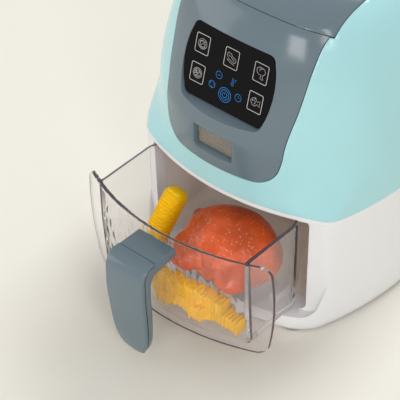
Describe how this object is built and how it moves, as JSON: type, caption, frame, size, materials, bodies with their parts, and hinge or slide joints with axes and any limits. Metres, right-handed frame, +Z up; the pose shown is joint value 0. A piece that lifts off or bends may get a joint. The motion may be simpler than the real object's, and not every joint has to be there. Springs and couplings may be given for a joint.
{
  "type": "toy air fryer",
  "caption": "Pretend air fryer with an egg-shaped housing, a sloping key panel and a clear pull-out drawer that holds play food.",
  "frame": {"origin": "middle of the whole toy's footprint with the drawer as pictured, on the ground", "axes": "+Z up, -Y to the front, where the drawer comes out, +X to the right seen from above with the front towards the viewer"},
  "size_m": [0.157, 0.2408, 0.2016],
  "materials": {
    "white_plastic": "satin moulded white plastic",
    "mint_plastic": "glossy moulded mint plastic",
    "slate_plastic": "glossy moulded slate-grey plastic",
    "black_gloss": "polished black plastic with printed symbols",
    "clear_plastic": "clear moulded plastic, rippled on the drawer front",
    "display_screen": "blank grey-brown display",
    "soft_rubber": "matt moulded rubber",
    "circuit_board": "green circuit board",
    "led_blue": "clear blue lights",
    "speaker_black": "matt black",
    "steel": "bright steel",
    "cell_wrap": "plain printed metal jacket",
    "chicken_plastic": "soft-touch roast-brown plastic",
    "fry_plastic": "satin golden-yellow plastic"
  },
  "bodies": {
    "housing": {"lower_body": "white_plastic", "upper_shell": "mint_plastic", "control_panel": "slate_plastic", "top_cover": "slate_plastic", "base_plate": "white_plastic", "bay_liner": "white_plastic", "foot_front_left": "soft_rubber", "foot_front_right": "soft_rubber", "foot_rear_left": "soft_rubber", "foot_rear_right": "soft_rubber", "panel_overlay": "black_gloss", "display_window": "clear_plastic", "display_screen": "display_screen", "keypad_mat": "soft_rubber", "circuit_board": "circuit_board", "indicator_led_1": "led_blue", "indicator_led_2": "led_blue", "indicator_led_3": "led_blue", "speaker": "speaker_black", "battery_tray": "white_plastic", "battery_contact_left": "steel", "battery_contact_right": "steel", "battery_cell_1": "cell_wrap", "battery_cell_2": "cell_wrap", "battery_cell_3": "cell_wrap", "battery_door": "white_plastic", "battery_door_screw": "steel", "base_screw_1": "steel", "base_screw_2": "steel", "base_screw_3": "steel", "base_screw_4": "steel", "seam_screw_1": "steel", "seam_screw_2": "steel", "seam_screw_3": "steel", "seam_screw_4": "steel", "bay_screw_1": "steel", "bay_screw_2": "steel", "bay_screw_3": "steel", "bay_screw_4": "steel", "board_screw_1": "steel", "board_screw_2": "steel", "board_screw_3": "steel", "board_screw_4": "steel"},
    "drawer": {"drawer_tray": "clear_plastic", "handle_grip": "slate_plastic", "handle_front_cover": "slate_plastic", "handle_screw_1": "steel", "handle_screw_2": "steel", "roast_chicken": "chicken_plastic", "crinkle_fry": "fry_plastic", "fries_portion": "fry_plastic"},
    "food_key_1": {"food_key_1": "black_gloss"},
    "food_key_2": {"food_key_2": "black_gloss"},
    "food_key_3": {"food_key_3": "black_gloss"},
    "food_key_4": {"food_key_4": "black_gloss"},
    "food_key_5": {"food_key_5": "black_gloss"},
    "power_key": {"power_key": "black_gloss"}
  },
  "joints": [
    {"name": "drawer_slide", "type": "slide", "parent": "housing", "child": "drawer", "axis": [0, -1, 0], "range_m": [-0.043, 0.01]},
    {"name": "food_key_1_press", "type": "slide", "parent": "housing", "child": "food_key_1", "axis": [0, 0.9659, -0.2588], "range_m": [0, 0.0008], "stiffness_N_per_m": 400},
    {"name": "food_key_2_press", "type": "slide", "parent": "housing", "child": "food_key_2", "axis": [0, 0.9659, -0.2588], "range_m": [0, 0.0008], "stiffness_N_per_m": 400},
    {"name": "food_key_3_press", "type": "slide", "parent": "housing", "child": "food_key_3", "axis": [0, 0.9659, -0.2588], "range_m": [0, 0.0008], "stiffness_N_per_m": 400},
    {"name": "food_key_4_press", "type": "slide", "parent": "housing", "child": "food_key_4", "axis": [0, 0.9659, -0.2588], "range_m": [0, 0.0008], "stiffness_N_per_m": 400},
    {"name": "food_key_5_press", "type": "slide", "parent": "housing", "child": "food_key_5", "axis": [0, 0.9659, -0.2588], "range_m": [0, 0.0008], "stiffness_N_per_m": 400},
    {"name": "power_key_press", "type": "slide", "parent": "housing", "child": "power_key", "axis": [0, 0.9659, -0.2588], "range_m": [0, 0.0008], "stiffness_N_per_m": 400}
  ]
}
